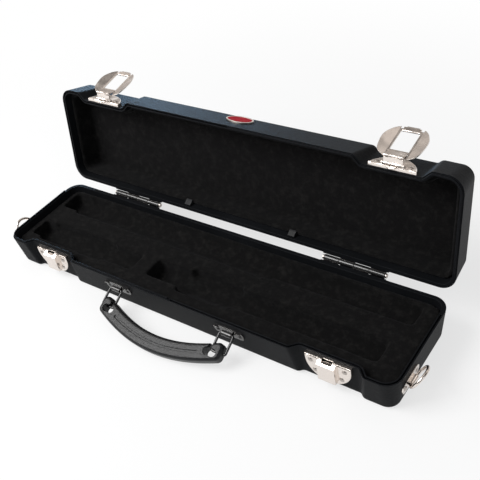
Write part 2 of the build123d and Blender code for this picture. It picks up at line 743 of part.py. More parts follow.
def handle_grip():
    """Bowed grip with an eye, a slot for the ring's inner leg and a cross hole at each end."""
    grip = grip_bar() - grip_groove()
    bore = HANDLE_WIRE_R + HANDLE_FIT
    for s in (-1, 1):
        eye_face = SlotOverall(2 * EYE_HALF, EYE_W)
        eye = extrude(eye_face, amount=GRIP_T, both=True)
        eye = Pos(s * EYE_X, grip_line(EYE_X) + 0.2, -GRIP_T / 2) * eye
        notch_x = s * (HANDLE_X - HANDLE_RING_W / 2)
        notch = block(notch_x - LEG_CLEAR, notch_x + LEG_CLEAR, -20, BAR_S + 1.3, -GRIP_T - 1, 1)
        hole = Pos(s * HANDLE_X, BAR_S, -GRIP_T / 2) * Rot(0, 90, 0) * Cylinder(bore, 14)
        for cutter in (eye, notch, hole):
            grip -= cutter
    return one(grip_plane() * mirror(grip, Plane.YZ))


def handle_frame(x):
    """Frame of a handle ring: origin on its upper bar, y down its legs."""
    y_b, z_b = bar_point()
    down = Vector(0, y_b - HANDLE_Y, z_b - HANDLE_Z)
    normal = Vector(1, 0, 0).cross(down.normalized())
    return Plane(origin=(x, HANDLE_Y, HANDLE_Z), x_dir=(1, 0, 0), z_dir=normal), down.length


def handle_ring(x):
    """Rounded rectangle of wire between the bracket and the grip."""
    plane, length = handle_frame(x)
    path = plane * Pos(0, length / 2) * RectangleRounded(HANDLE_RING_W, length, HANDLE_CORNER_R)
    return one(wire_loop(path, HANDLE_WIRE_R))


def bridge(half, inner_r, outer_r, y_bar, z_bar):
    """Raised half-round sheet over a bar along x, standing on z = 0."""
    outer = Pos(0, y_bar, z_bar) * Rot(0, 90, 0) * Cylinder(outer_r, 2 * half)
    outer += block(-half, half, y_bar - outer_r, y_bar + outer_r, 0, z_bar)
    inner = Pos(0, y_bar, z_bar) * Rot(0, 90, 0) * Cylinder(inner_r, 2 * half + 1)
    inner += block(-half - 1, half + 1, y_bar - inner_r, y_bar + inner_r, SHEET, z_bar)
    return outer, inner


def handle_bracket(x):
    """Riveted bracket that holds the upper bar of a handle ring."""
    frame = front_frame(x, HANDLE_Z)
    bar = frame.to_local_coords(Vector(x, HANDLE_Y, HANDLE_Z))
    straight = HANDLE_RING_W / 2 - HANDLE_CORNER_R - 0.2
    outer, inner = bridge(straight, HANDLE_WIRE_R + HANDLE_FIT, BRIDGE_R, bar.Y, bar.Z)
    plate = extrude(RectangleRounded(2 * BRACKET_HALF, BRACKET_H, BRACKET_CORNER_R), amount=SHEET)
    clear = HANDLE_RING_W / 2 + HANDLE_WIRE_R + 0.6
    for s in (-1, 1):
        x0, x1 = sorted((s * clear, s * (BRACKET_HALF - 1.5)))
        plate += block(x0, x1, BRACKET_H / 2 - SHEET, BRACKET_H / 2, 0, SHEET + BRACKET_LIP)
    plate += outer
    plate -= inner
    body = frame * plate
    for place in bracket_rivet_places():
        if abs(place.origin.X - x) < BRACKET_HALF:
            body -= place * rivet_hole(SHEET + 1)
    return one(body)


# ------------------------------------------------------------------ strap rings
def strap_pivot(side):
    """Point on the bar of a strap ring."""
    return end_frame(side, STRAP_Y, STRAP_Z, STRAP_STAND).origin


def strap_ring(side):
    """D-shaped wire ring standing out from the end wall."""
    up = math.radians(STRAP_UP)
    out = Vector(side * math.cos(up), 0, math.sin(up))
    along = Vector(0, side, 0)
    plane = Plane(origin=strap_pivot(side), x_dir=along, z_dir=along.cross(out))
    disc = Pos(0, STRAP_BAR_TO_CENTRE) * Circle(STRAP_RING_R)
    disc &= Pos(0, STRAP_RING_R) * Rectangle(4 * STRAP_RING_R, 2 * STRAP_RING_R)
    disc = fillet(disc.vertices().group_by(Axis.Y)[0], STRAP_CORNER_R)
    return one(wire_loop(plane * disc, STRAP_WIRE_R))


def strap_plate(side):
    """Riveted plate with a raised loop for the strap ring."""
    frame = end_frame(side, STRAP_Y, STRAP_Z)
    outer, inner = bridge(STRAP_BRIDGE_HALF, STRAP_WIRE_R + STRAP_FIT, STRAP_BRIDGE_R, 0, STRAP_STAND)
    plate = extrude(SlotOverall(STRAP_PLATE_L, STRAP_PLATE_W), amount=STRAP_PLATE_T)
    plate += outer
    plate -= inner
    body = frame * plate
    for place in strap_rivet_places():
        if place.origin.X * side > 0:
            body -= place * rivet_hole(STRAP_PLATE_T + 1)
    return one(body)


# ------------------------------------------------------------------ linings and badge
def channel(x0, x1, y, radius, floor):
    """Round-bottomed channel along X, open above."""
    axis = floor + radius
    cut = bar_x(y, axis, radius, x0, x1)
    return cut + block(x0, x1, y - radius, y + radius, axis, HALF_H)


def base_lining():
    """Insert that fills the base up to its top face, with a cavity for each joint of the flute."""
    top = HALF_H - INSERT_DROP
    inset = WALL + LINING_FIT
    body = hull_between(top, WALL + 0.2, inset)
    floor = HALF_H - CAVITY_DEPTH
    shelf = HALF_H - SHELF_DEPTH
    end = LENGTH / 2
    body_y = WIDTH / 2 - BODY_INSET
    head_y = HEAD_INSET - WIDTH / 2
    foot_y = FOOT_INSET - WIDTH / 2
    body -= channel(BODY_START - end, end - BODY_STOP, body_y, BODY_R, floor)
    near = body_y - BODY_SHELF_NEAR
    far = body_y + BODY_SHELF_FAR
    body -= block(BODY_SHELF_START - end, 0.3 * end, near, far, shelf, HALF_H)
    body -= channel(-0.22 * end, end - HEAD_STOP, head_y, HEAD_R, floor)
    near = head_y - HEAD_SHELF_NEAR
    far = head_y + HEAD_SHELF_FAR
    body -= block(-0.04 * end, 0.22 * end, near, far, shelf - HEAD_SHELF_EXTRA, HALF_H)
    body -= channel(FOOT_START - end, -0.31 * end, foot_y, FOOT_R, floor)
    near = foot_y - FOOT_SHELF_NEAR
    far = foot_y + FOOT_SHELF_FAR
    body -= block(FOOT_SHELF_START - end, -0.48 * end, near, far, shelf, HALF_H)
    return one(body)


def lid_lining():
    """Tray lining of the closed lid."""
    outer_inset = WALL + LINING_FIT
    foot = HALF_H - LID_LEDGE_DROP
    body = hull_between(foot, WALL + 0.2, outer_inset)
    body -= hull_between(foot + 1.0, WALL + 0.2 + LID_LINING_T, outer_inset + LID_LEDGE_T)
    return one(turned_over(body))


def lining_lug(x):
    """Small wedge that keeps the lid lining in place."""
    foot_z = lid_z(HALF_H - LID_LEDGE_DROP)
    wall_y = WIDTH / 2 - shrink(HALF_H - LID_LEDGE_DROP) - WALL - 0.2
    low = foot_z - LUG_H
    shape = [(wall_y, foot_z), (wall_y - LUG_W, foot_z), (wall_y - LUG_W + 0.8, foot_z - 1.2)]
    shape += [(wall_y - 0.6, low), (wall_y, low)]
    return yz_prism(shape, x - LUG_L / 2, x + LUG_L / 2)


def badge(kind):
    """Blank oval badge on the closed lid: its raised border or its face."""
    frame = lid_front_frame(BADGE_X, BADGE_Z)
    inner = Ellipse(BADGE_L / 2 - BADGE_BORDER, BADGE_W / 2 - BADGE_BORDER)
    if kind == "rim":
        ring = extrude(Ellipse(BADGE_L / 2, BADGE_W / 2) - inner, amount=BADGE_T)
        return one(frame * ring)
    border = BADGE_BORDER + BADGE_FIT
    face = Ellipse(BADGE_L / 2 - border, BADGE_W / 2 - border)
    return one(frame * extrude(face, amount=BADGE_FACE_T))


# ------------------------------------------------------------------ build and write every node
half = moulding()
save("base_shell", base_shell(half))
save("lid_shell", opened(lid_shell(half)))
save("base_lining", base_lining())
save("lid_lining", opened(lid_lining()))
save("lining_tabs", *[opened(lining_lug(x)) for x in (-LUG_X, LUG_X)])

save("hinge_base_rivets", *[place * rivet(LEAF_GRIP) for place in hinge_rivet_places()])
save("hinge_lid_rivets", *[opened(turned_over(place * rivet(LEAF_GRIP))) for place in hinge_rivet_places()])
save("keeper_rivets", *[place * rivet(PLATE_GRIP) for place in plate_rivet_places(KEEPER_SPOTS)])
save("latch_plate_rivets", *[opened(place * rivet(PLATE_GRIP)) for place in plate_rivet_places(LATCH_SPOTS)])
save("handle_bracket_rivets", *[place * rivet(WALL_GRIP) for place in bracket_rivet_places()])
save("strap_plate_rivets", *[place * rivet(STRAP_GRIP) for place in strap_rivet_places()])

for name, sign in SIDES.items():
    hinge_x = sign * HINGE_X
    latch_x = sign * LATCH_X
    save(f"hinge_base_leaf_{name}", base_leaf(hinge_x, (0, 2)))
    save(f"hinge_lid_leaf_{name}", opened(lid_leaf(hinge_x)))
    save(f"hinge_pin_{name}", hinge_pin(hinge_x))
    save(f"keeper_{name}", keeper(latch_x))
    save(f"latch_plate_{name}", opened(latch_plate(latch_x)))
    save(f"latch_link_{name}", opened(latch_link(latch_x)))
    save(f"latch_link_pin_{name}", opened(latch_pin(latch_x, AXIS_A, LINK_HALF + 1.2)))
    save(f"latch_lever_{name}", opened(latch_lever(latch_x)))
    save(f"latch_lever_pin_{name}", opened(latch_pin(latch_x, AXIS_B, WINDOW_HALF)))
    save(f"handle_ring_{name}", handle_ring(sign * HANDLE_X))
    save(f"handle_bracket_{name}", handle_bracket(sign * HANDLE_X))
    save(f"strap_ring_{name}", strap_ring(sign))
    save(f"strap_plate_{name}", strap_plate(sign))

save("handle_grip", handle_grip())
save("badge_rim", opened(badge("rim")))
save("badge_face", opened(badge("face")))
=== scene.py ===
"""Flute case with its lid standing open: finishes, plush linings and a plain studio, around
the packed model.

Run as a script. It is laid out as an add-on, so every step is an operator and every size or colour
that a user would change is a property in the sidebar of the 3D view.
"""

import bpy
from bpy.props import FloatProperty, FloatVectorProperty, PointerProperty
from mathutils import Matrix, Vector


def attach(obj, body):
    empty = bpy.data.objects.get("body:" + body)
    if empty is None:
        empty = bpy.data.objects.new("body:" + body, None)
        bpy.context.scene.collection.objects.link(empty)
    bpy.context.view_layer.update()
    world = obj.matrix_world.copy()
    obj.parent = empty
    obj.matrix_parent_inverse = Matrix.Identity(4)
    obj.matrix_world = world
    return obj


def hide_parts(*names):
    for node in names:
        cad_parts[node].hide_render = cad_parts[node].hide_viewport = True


bl_info = {
    "name": "Flute Case",
    "version": (1, 0, 0),
    "blender": (4, 5, 0),
    "location": "View3D > Sidebar > Flute Case",
    "description": "Finishes, plush linings and a plain studio for a hinged flute case",
    "category": "Object",
}

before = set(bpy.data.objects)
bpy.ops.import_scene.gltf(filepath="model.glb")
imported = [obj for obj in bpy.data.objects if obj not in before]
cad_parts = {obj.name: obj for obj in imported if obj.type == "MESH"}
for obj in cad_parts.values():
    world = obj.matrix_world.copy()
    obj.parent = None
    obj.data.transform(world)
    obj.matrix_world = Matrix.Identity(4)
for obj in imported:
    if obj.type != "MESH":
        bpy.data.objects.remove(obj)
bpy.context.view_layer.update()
SIDES = ("left", "right")
WHITE = (1.0, 1.0, 1.0)


# ------------------------------------------------------------------ fixed numbers
# Depths, radii, sizes and places are in metres. A noise's scale counts its features per metre.
# A range of two gives where a mask starts and where it is full. A range of four adds the value
# at its start and at its end.

# moulded grain and the dust in it
PEBBLE_SMOOTHNESS = 0.6
PEBBLE_DOME = 0.8  # height of a pebble's own dome
PEBBLE_SWELL = 0.35  # scale of the slow unevenness, as a share of the pebbles' scale
PEBBLE_VALLEYS = (0.45, 0.8)
DUST_PATCH_SCALE = 22.0
DUST_PATCHES = (0.45, 0.75)
DUST_SPECK_SCALE = 900.0
DUST_SPECKS = (0.66, 0.78)
DUST_IN_VALLEYS = 0.5
DUST_ALL_OVER = 0.25
DUST_ROUGHENS = 0.2
EDGE_HIGHLIGHT_SHARE = 0.3  # how pale the painted highlight along an edge gets
PLASTIC_EDGE = 0.0005

# rounded edges: their mask bares metal through worn lacquer and gives the painted highlight along plastic
# edges
BEVEL_SAMPLES = 6
EDGE_MASK_RANGE = (0.99, 0.86)  # likeness of the rounded and the true normal

# plated sheet and wire
LINES_ALONG = (30.0, 2500.0, 2500.0)
LINES_AROUND = (2500.0, 2500.0, 120.0)
LINES_EVEN = (900.0, 900.0, 900.0)
CLOUD_SCALE = 160.0
PRESS_SCALE = 75.0
TARNISH = (0.30, 0.28, 0.26)
TARNISH_CLOUD = (0.55, 0.85, 0.0, 0.35)
TARNISH_ROUGHENS = 0.3
LINES_RANGE = (0.3, 0.8)
LINES_ROUGHEN = 0.12
LINES_DEPTH = 0.000004
PRESS_DEPTH = 0.0016
WIRE_EDGE = 0.3  # of the edge radius of sheet metal
SMALL_EDGE = 0.5  # the same, for rivet heads, pins and the badge

# lacquer over steel
CHIP_SCALE = 1400.0
CHIPS = (0.30, 0.55)
CHIP_DEPTH = 0.000012
LACQUER_ROUGHNESS = (0.2, 0.9, 0.16, 0.32)
LACQUER_COAT = 0.4
LACQUER_COAT_ROUGHNESS = 0.08

# plush
PILE_DEPTH = 0.00035
PILE_PATCH_SCALE = 170.0
PILE_PATCHES = (0.42, 0.72)
PILE_TUFTS = (0.35, 0.75, -0.25, 0.35)
PLUSH_ROUGHNESS = 0.95
PLUSH_GLOSS = 0.15
PLUSH_SHEEN = 0.05
PLUSH_SHEEN_ROUGHNESS = 0.45
PLUSH_SHEEN_TINT = (0.55, 0.55, 0.6)
SAME_POINT = 0.00001  # points of a CAD mesh closer than this are one point

# enamel of the badge
ENAMEL_SCALE = 420.0
ENAMEL_SHADE = 0.7  # the darker patches, as a share of the colour
ENAMEL_PATCHES = (0.35, 0.7)
ENAMEL_ROUGHNESS = (0.2, 0.8, 0.5, 0.62)
ENAMEL_DEPTH = 0.00002
ENAMEL_GLOSS = 0.06

# floor: it fades into the white behind it, so that no horizon shows
FLOOR_SIZE = 8.0
FLOOR_ROUGHNESS = 0.9
FLOOR_GLOSS = 0.1
FLOOR_GLOW = (0.2, 0.65, 0.66, 1.0)  # share of plain white where the camera sees it, by distance
FLOOR_GLOW_MIRRORED = 0.55

# lamps: place, size and colour; each looks at the middle of the case
LAMP_TARGET = (0.0, 0.02, 0.05)
LAMPS = {
    "key": ((-0.75, -0.65, 1.15), (0.9, 0.9), WHITE),
    "fill": ((1.25, -0.5, 0.7), (0.8, 1.0), (0.9, 0.95, 1.0)),
    "rim": ((-1.2, 1.05, 0.34), (0.8, 0.4), (0.42, 0.69, 1.0)),
}
# The lamp behind reaches the shells only: plated parts would mirror it as plain white.
LIT_FROM_BEHIND = ("base_shell", "lid_shell")

# surroundings that glossy parts mirror, by the height of the direction, with two dark cards
LOW_SKY = (0.06, 0.28, 0.97, 0.36)
HIGH_SKY = (0.3, 0.8, 0.0, 0.72)
WARM_SKY = (0.05, 0.3)
SKY_TINT = (0.90, 0.84, 0.79)
DARK_CARDS = (
    ((0.564, -0.550, 0.616), (0.15, 0.75, 1.0, 0.06)),
    ((-0.369, 0.439, 0.819), (0.945, 0.985, 1.0, 0.08)),
)

# camera
CAMERA_PLACE = (0.35597, -0.32721, 0.43844)
CAMERA_RIGHT = (0.80690, 0.56506, -0.17208)
CAMERA_UP = (-0.25885, 0.60013, 0.75687)
SENSOR_WIDTH = 36.0  # millimetres


# ------------------------------------------------------------------ what a user can change
def length_property(name, description, default):
    """A length in metres, shown in the scene's unit."""
    return FloatProperty(
        name=name, description=description, default=default, min=0.0, precision=5, unit="LENGTH"
    )


def share_property(name, description, default):
    """A plain share from 0 to 1."""
    return FloatProperty(
        name=name, description=description, default=default, min=0.0, max=1.0, subtype="FACTOR"
    )


def power_property(name, description, default):
    """The power of a lamp, in watts."""
    return FloatProperty(name=name, description=description, default=default, min=0.0, unit="POWER")


def colour_property(name, description, default):
    """A linear RGB colour."""
    return FloatVectorProperty(
        name=name, description=description, default=default, min=0.0, max=1.0, size=3, subtype="COLOR"
    )


class PlushSizes(bpy.types.PropertyGroup):
    """Sizes of the plush-covered linings."""

    cell: length_property("Surface cell", "Mesh cell of the plush surface", 0.0015)
    thickness: length_property(
        "Cloth thickness", "How far the plush rounds over an edge of its core", 0.0012
    )
    swell: length_property("Swell", "How far the plush swells between its edges", 0.0005)
    wave: length_property("Wave", "Size of the slow unevenness of the cloth", 0.018)


class ShellFinish(bpy.types.PropertyGroup):
    """Look of the moulded plastic."""

    colour: colour_property("Plastic", "Colour of the moulded shells", (0.0055, 0.0060, 0.0070))
    # the dust colour is also the colour of the painted highlight along the edges of the plastic
    dust: colour_property("Dust", "Colour of the dust in the grain", (0.045, 0.048, 0.055))
    grain: length_property("Grain", "Size of one pebble of the moulded grain", 0.0007)
    roughness: share_property("Roughness", "Roughness of the plastic", 0.5)


class MetalFinish(bpy.types.PropertyGroup):
    """Look of the plated and lacquered metal."""

    nickel: colour_property("Nickel", "Colour of the plated parts", (0.80, 0.735, 0.685))
    rivet: colour_property("Rivets", "Colour of the rivet heads", (0.46, 0.42, 0.39))
    lacquer: colour_property(
        "Lacquer", "Colour of the hinges, handle brackets and handle rings", (0.006, 0.006, 0.0065)
    )
    enamel: colour_property("Badge field", "Colour of the bare field of the badge", (0.40, 0.010, 0.022))
    edge: length_property("Edge", "Radius of the worn edge of sheet metal", 0.00035)


class ClothFinish(bpy.types.PropertyGroup):
    """Look of the plush."""

    colour: colour_property("Plush", "Colour of the plush", (0.0018, 0.0017, 0.0018))
    brushed: colour_property("Brushed plush", "Colour where the pile lies over", (0.0100, 0.0095, 0.0090))
    pile: length_property("Pile", "Size of one tuft of the pile", 0.0005)


class StudioSettings(bpy.types.PropertyGroup):
    """Floor, lamps and lens."""

    floor: colour_property("Floor", "Colour of the floor", (0.86, 0.86, 0.86))
    key_power: power_property("Key", "Power of the large lamp", 22.0)
    fill_power: power_property("Fill", "Power of the fill lamp", 2.8)
    rim_power: power_property("Rim", "Power of the lamp behind", 10.0)
    ambient: FloatProperty(
        name="Ambient", description="Strength of the plain light around", default=0.42, min=0.0
    )
    lens: FloatProperty(
        name="Lens", description="Focal length on a 36 mm sensor", default=56.44, min=1.0
    )


SETTINGS = {
    "plush_sizes": PlushSizes,
    "shell_finish": ShellFinish,
    "metal_finish": MetalFinish,
    "cloth_finish": ClothFinish,
    "studio": StudioSettings,
}


# ------------------------------------------------------------------ shader helpers
def new_group(name, inputs, outputs):
    """An empty shader node group with named sockets, and its two end nodes."""
    tree = bpy.data.node_groups.new(name, "ShaderNodeTree")
    for label, kind, default in inputs:
        socket = tree.interface.new_socket(label, in_out="INPUT", socket_type=kind)
        if default is not None:
            socket.default_value = default
    for label, kind in outputs:
        tree.interface.new_socket(label, in_out="OUTPUT", socket_type=kind)
    return tree, tree.nodes.new("NodeGroupInput"), tree.nodes.new("NodeGroupOutput")


def put(tree, value, socket):
    """Set a socket from a number, a colour or another socket."""
    if isinstance(value, bpy.types.NodeSocket):
        tree.links.new(value, socket)
    else:
        socket.default_value = value


def noise(tree, vector, scale, detail=2.0, roughness=0.5):
    """A noise texture; scale is a number or a socket."""
    node = tree.nodes.new("ShaderNodeTexNoise")
    node.inputs["Detail"].default_value = detail
    node.inputs["Roughness"].default_value = roughness
    tree.links.new(vector, node.inputs["Vector"])
    put(tree, scale, node.inputs["Scale"])
    return node.outputs["Fac"]


def math_node(tree, operation, a, b=0.0, clamp=False):
    """One arithmetic step."""
    node = tree.nodes.new("ShaderNodeMath")
    node.operation = operation
    node.use_clamp = clamp
    put(tree, a, node.inputs[0])
    put(tree, b, node.inputs[1])
    return node.outputs[0]


def vector_node(tree, operation, a, b=(0.0, 0.0, 0.0)):
    """One vector step. It gives all the outputs, since some steps put out a number."""
    node = tree.nodes.new("ShaderNodeVectorMath")
    node.operation = operation
    put(tree, a, node.inputs[0])
    put(tree, b, node.inputs[1])
    return node.outputs


def between(tree, value, low, high, to_low=0.0, to_high=1.0):
    """Map a value from one range to another, smoothly and clamped."""
    node = tree.nodes.new("ShaderNodeMapRange")
    node.interpolation_type = "SMOOTHSTEP"
    put(tree, value, node.inputs["Value"])
    for label, number in (("From Min", low), ("From Max", high), ("To Min", to_low), ("To Max", to_high)):
        put(tree, number, node.inputs[label])
    return node.outputs["Result"]


def mixed(tree, share, first, second):
    """Blend of two colours."""
    node = tree.nodes.new("ShaderNodeMix")
    node.data_type = "RGBA"
    put(tree, share, node.inputs["Factor"])
    put(tree, first, node.inputs["A"])
    put(tree, second, node.inputs["B"])
    return node.outputs["Result"]


def rgba(colour):
    """Colour property as four numbers."""
    return (*colour, 1.0)


def pebble_group():
    """Moulded grain: rounded pebbles of uneven size, and the valleys between them."""
    tree, source, sink = new_group(
        "Pebble grain",
        [("Vector", "NodeSocketVector", None), ("Pebble", "NodeSocketFloat", 0.0006)],
        [("Height", "NodeSocketFloat"), ("Valleys", "NodeSocketFloat")],
    )
    scale = math_node(tree, "DIVIDE", 1.0, source.outputs["Pebble"])
    cells = tree.nodes.new("ShaderNodeTexVoronoi")
    cells.feature = "SMOOTH_F1"
    cells.inputs["Smoothness"].default_value = PEBBLE_SMOOTHNESS
    tree.links.new(source.outputs["Vector"], cells.inputs["Vector"])
    tree.links.new(scale, cells.inputs["Scale"])
    slower = math_node(tree, "MULTIPLY", scale, PEBBLE_SWELL)
    swell = noise(tree, source.outputs["Vector"], slower, detail=3.0)
    dome = math_node(tree, "MULTIPLY", cells.outputs["Distance"], PEBBLE_DOME)
    tree.links.new(math_node(tree, "SUBTRACT", swell, dome), sink.inputs["Height"])
    tree.links.new(between(tree, cells.outputs["Distance"], *PEBBLE_VALLEYS), sink.inputs["Valleys"])
    return tree


def dust_group():
    """Slow patches of dust and finer specks, as one mask."""
    tree, source, sink = new_group(
        "Dust and handling",
        [("Vector", "NodeSocketVector", None), ("Amount", "NodeSocketFloat", 0.5)],
        [("Mask", "NodeSocketFloat")],
    )
    patches = noise(tree, source.outputs["Vector"], DUST_PATCH_SCALE, detail=4.0, roughness=0.6)
    specks = noise(tree, source.outputs["Vector"], DUST_SPECK_SCALE, detail=2.0, roughness=0.6)
    mask = math_node(
        tree, "ADD", between(tree, patches, *DUST_PATCHES), between(tree, specks, *DUST_SPECKS)
    )
    mask = math_node(tree, "MULTIPLY", mask, source.outputs["Amount"], clamp=True)
    tree.links.new(mask, sink.inputs["Mask"])
    return tree


def rounded_edge_group():
    """Rounded normals along sharp edges, and a mask of where they are."""
    tree, source, sink = new_group(
        "Rounded edge",
        [("Radius", "NodeSocketFloat", 0.0003)],
        [("Normal", "NodeSocketVector"), ("Edge", "NodeSocketFloat")],
    )
    rounding = tree.nodes.new("ShaderNodeBevel")
    rounding.samples = BEVEL_SAMPLES
    tree.links.new(source.outputs["Radius"], rounding.inputs["Radius"])
    true_normal = tree.nodes.new("ShaderNodeNewGeometry").outputs["Normal"]
    likeness = vector_node(tree, "DOT_PRODUCT", rounding.outputs["Normal"], true_normal)["Value"]
    tree.links.new(rounding.outputs["Normal"], sink.inputs["Normal"])
    tree.links.new(between(tree, likeness, *EDGE_MASK_RANGE), sink.inputs["Edge"])
    return tree


def hairline_group():
    """Fine polishing lines, the cloudiness of handled plating and the slow waves of pressed sheet."""
    tree, source, sink = new_group(
        "Polishing lines",
        [("Vector", "NodeSocketVector", None), ("Stretch", "NodeSocketVector", LINES_ALONG)],
        [("Lines", "NodeSocketFloat"), ("Cloud", "NodeSocketFloat"), ("Press", "NodeSocketFloat")],
    )
    place = source.outputs["Vector"]
    stretched = vector_node(tree, "MULTIPLY", place, source.outputs["Stretch"])["Vector"]
    tree.links.new(noise(tree, stretched, scale=1.0), sink.inputs["Lines"])
    cloud = noise(tree, place, CLOUD_SCALE, detail=3.0, roughness=0.6)
    tree.links.new(cloud, sink.inputs["Cloud"])
    press = noise(tree, place, PRESS_SCALE, detail=1.0, roughness=0.4)
    tree.links.new(press, sink.inputs["Press"])
    return tree


def pile_group():
    """Short pile: tufts, and slow patches where it has been brushed over."""
    tree, source, sink = new_group(
        "Plush pile",
        [("Vector", "NodeSocketVector", None), ("Tuft", "NodeSocketFloat", 0.0005)],
        [("Height", "NodeSocketFloat"), ("Brushed", "NodeSocketFloat")],
    )
    scale = math_node(tree, "DIVIDE", 1.0, source.outputs["Tuft"])
    tufts = noise(tree, source.outputs["Vector"], scale, detail=3.0, roughness=0.65)
    patches = noise(tree, source.outputs["Vector"], PILE_PATCH_SCALE, detail=6.0, roughness=0.75)
    tree.links.new(tufts, sink.inputs["Height"])
    both = math_node(
        tree, "ADD", between(tree, patches, *PILE_PATCHES), between(tree, tufts, *PILE_TUFTS), clamp=True
    )
    tree.links.new(both, sink.inputs["Brushed"])
    return tree


GROUP_MAKERS = {
    "pebbles": pebble_group,
    "dust": dust_group,
    "edge": rounded_edge_group,
    "lines": hairline_group,
    "pile": pile_group,
}
GROUPS = {}


def group_in(tree, name):
    """Place one of the shared groups in a material. It is built the first time it is asked for."""
    if name not in GROUPS:
        GROUPS[name] = GROUP_MAKERS[name]()
    node = tree.nodes.new("ShaderNodeGroup")
    node.node_tree = GROUPS[name]
    return node


def new_material(name):
    """A material with its Principled shader, its node tree and its object coordinates."""
    material = bpy.data.materials.new(name)
    material.use_nodes = True
    tree = material.node_tree
    shader = next(n for n in tree.nodes if n.type == "BSDF_PRINCIPLED")
    place = tree.nodes.new("ShaderNodeTexCoord").outputs["Object"]
    return material, tree, shader, place


def bump(tree, height, depth, normal=None):
    """A bump of the given real depth, in metres."""
    node = tree.nodes.new("ShaderNodeBump")
    node.inputs["Strength"].default_value = 1.0
    node.inputs["Distance"].default_value = depth
    tree.links.new(height, node.inputs["Height"])
    if normal is not None:
        tree.links.new(normal, node.inputs["Normal"])
    return node.outputs["Normal"]


def moulded_plastic(name, finish, depth, roughness, dust_amount, gloss):
    """Black plastic with a moulded pebble grain, dust in its valleys and a painted highlight along its
    edges.
    """
    material, tree, shader, place = new_material(name)
    grain = group_in(tree, "pebbles")
    tree.links.new(place, grain.inputs["Vector"])
    grain.inputs["Pebble"].default_value = finish.grain
    dust = group_in(tree, "dust")
    tree.links.new(place, dust.inputs["Vector"])
    dust.inputs["Amount"].default_value = dust_amount
    edge = group_in(tree, "edge")
    edge.inputs["Radius"].default_value = PLASTIC_EDGE
    in_valleys = math_node(tree, "MULTIPLY", grain.outputs["Valleys"], DUST_IN_VALLEYS)
    settled = math_node(tree, "ADD", in_valleys, DUST_ALL_OVER)
    dusty = math_node(tree, "MULTIPLY", settled, dust.outputs["Mask"])
    # painted highlight: along sharp edges the colour is lightened towards the dust colour, as where light
    # catches an edge
    edge_highlight = math_node(tree, "MULTIPLY", edge.outputs["Edge"], EDGE_HIGHLIGHT_SHARE)
    pale = math_node(tree, "ADD", dusty, edge_highlight, clamp=True)
    colour = mixed(tree, pale, rgba(finish.colour), rgba(finish.dust))
    tree.links.new(colour, shader.inputs["Base Color"])
    uneven = between(tree, dust.outputs["Mask"], 0.0, 1.0, roughness, roughness + DUST_ROUGHENS)
    tree.links.new(uneven, shader.inputs["Roughness"])
    grained = bump(tree, grain.outputs["Height"], depth, edge.outputs["Normal"])
    tree.links.new(grained, shader.inputs["Normal"])
    shader.inputs["Specular IOR Level"].default_value = gloss
    return material


def plated_metal(name, colour, roughness, stretch, edge_radius):
    """Bright plating with polishing lines, slight tarnish in its clouds and rounded sheet edges."""
    material, tree, shader, place = new_material(name)
    lines = group_in(tree, "lines")
    tree.links.new(place, lines.inputs["Vector"])
    lines.inputs["Stretch"].default_value = stretch
    edge = group_in(tree, "edge")
    edge.inputs["Radius"].default_value = edge_radius
    cloud = between(tree, lines.outputs["Cloud"], *TARNISH_CLOUD)
    tree.links.new(mixed(tree, cloud, rgba(colour), rgba(TARNISH)), shader.inputs["Base Color"])
    polished = between(tree, lines.outputs["Lines"], *LINES_RANGE, roughness, roughness + LINES_ROUGHEN)
    tarnished = math_node(tree, "MULTIPLY", cloud, TARNISH_ROUGHENS)
    tree.links.new(math_node(tree, "ADD", polished, tarnished), shader.inputs["Roughness"])
    wavy = bump(tree, lines.outputs["Press"], PRESS_DEPTH, edge.outputs["Normal"])
    tree.links.new(bump(tree, lines.outputs["Lines"], LINES_DEPTH, wavy), shader.inputs["Normal"])
    shader.inputs["Metallic"].default_value = 1.0
    return material


def lacquered_metal(name, colour, bare, edge_radius, wear):
    """Black lacquer over steel, worn through to bright metal along its edges."""
    material, tree, shader, place = new_material(name)
    edge = group_in(tree, "edge")
    edge.inputs["Radius"].default_value = edge_radius
    chips = noise(tree, place, CHIP_SCALE, detail=3.0, roughness=0.6)
    chipped = math_node(tree, "MULTIPLY", between(tree, chips, *CHIPS), wear)
    bare_share = math_node(tree, "MULTIPLY", edge.outputs["Edge"], chipped, clamp=True)
    tree.links.new(mixed(tree, bare_share, rgba(colour), rgba(bare)), shader.inputs["Base Color"])
    tree.links.new(bare_share, shader.inputs["Metallic"])
    tree.links.new(between(tree, chips, *LACQUER_ROUGHNESS), shader.inputs["Roughness"])
    tree.links.new(bump(tree, chips, CHIP_DEPTH, edge.outputs["Normal"]), shader.inputs["Normal"])
    shader.inputs["Coat Weight"].default_value = LACQUER_COAT
    shader.inputs["Coat Roughness"].default_value = LACQUER_COAT_ROUGHNESS
    return material


def plush(name, finish):
    """Black plush: deep pile with a faint sheen, lighter where it has been brushed over."""
    material, tree, shader, place = new_material(name)
    pile = group_in(tree, "pile")
    tree.links.new(place, pile.inputs["Vector"])
    pile.inputs["Tuft"].default_value = finish.pile
    colour = mixed(tree, pile.outputs["Brushed"], rgba(finish.colour), rgba(finish.brushed))
    tree.links.new(colour, shader.inputs["Base Color"])
    tree.links.new(bump(tree, pile.outputs["Height"], PILE_DEPTH), shader.inputs["Normal"])
    shader.inputs["Roughness"].default_value = PLUSH_ROUGHNESS
    shader.inputs["Specular IOR Level"].default_value = PLUSH_GLOSS
    shader.inputs["Sheen Weight"].default_value = PLUSH_SHEEN
    shader.inputs["Sheen Roughness"].default_value = PLUSH_SHEEN_ROUGHNESS
    shader.inputs["Sheen Tint"].default_value = rgba(PLUSH_SHEEN_TINT)
    return material


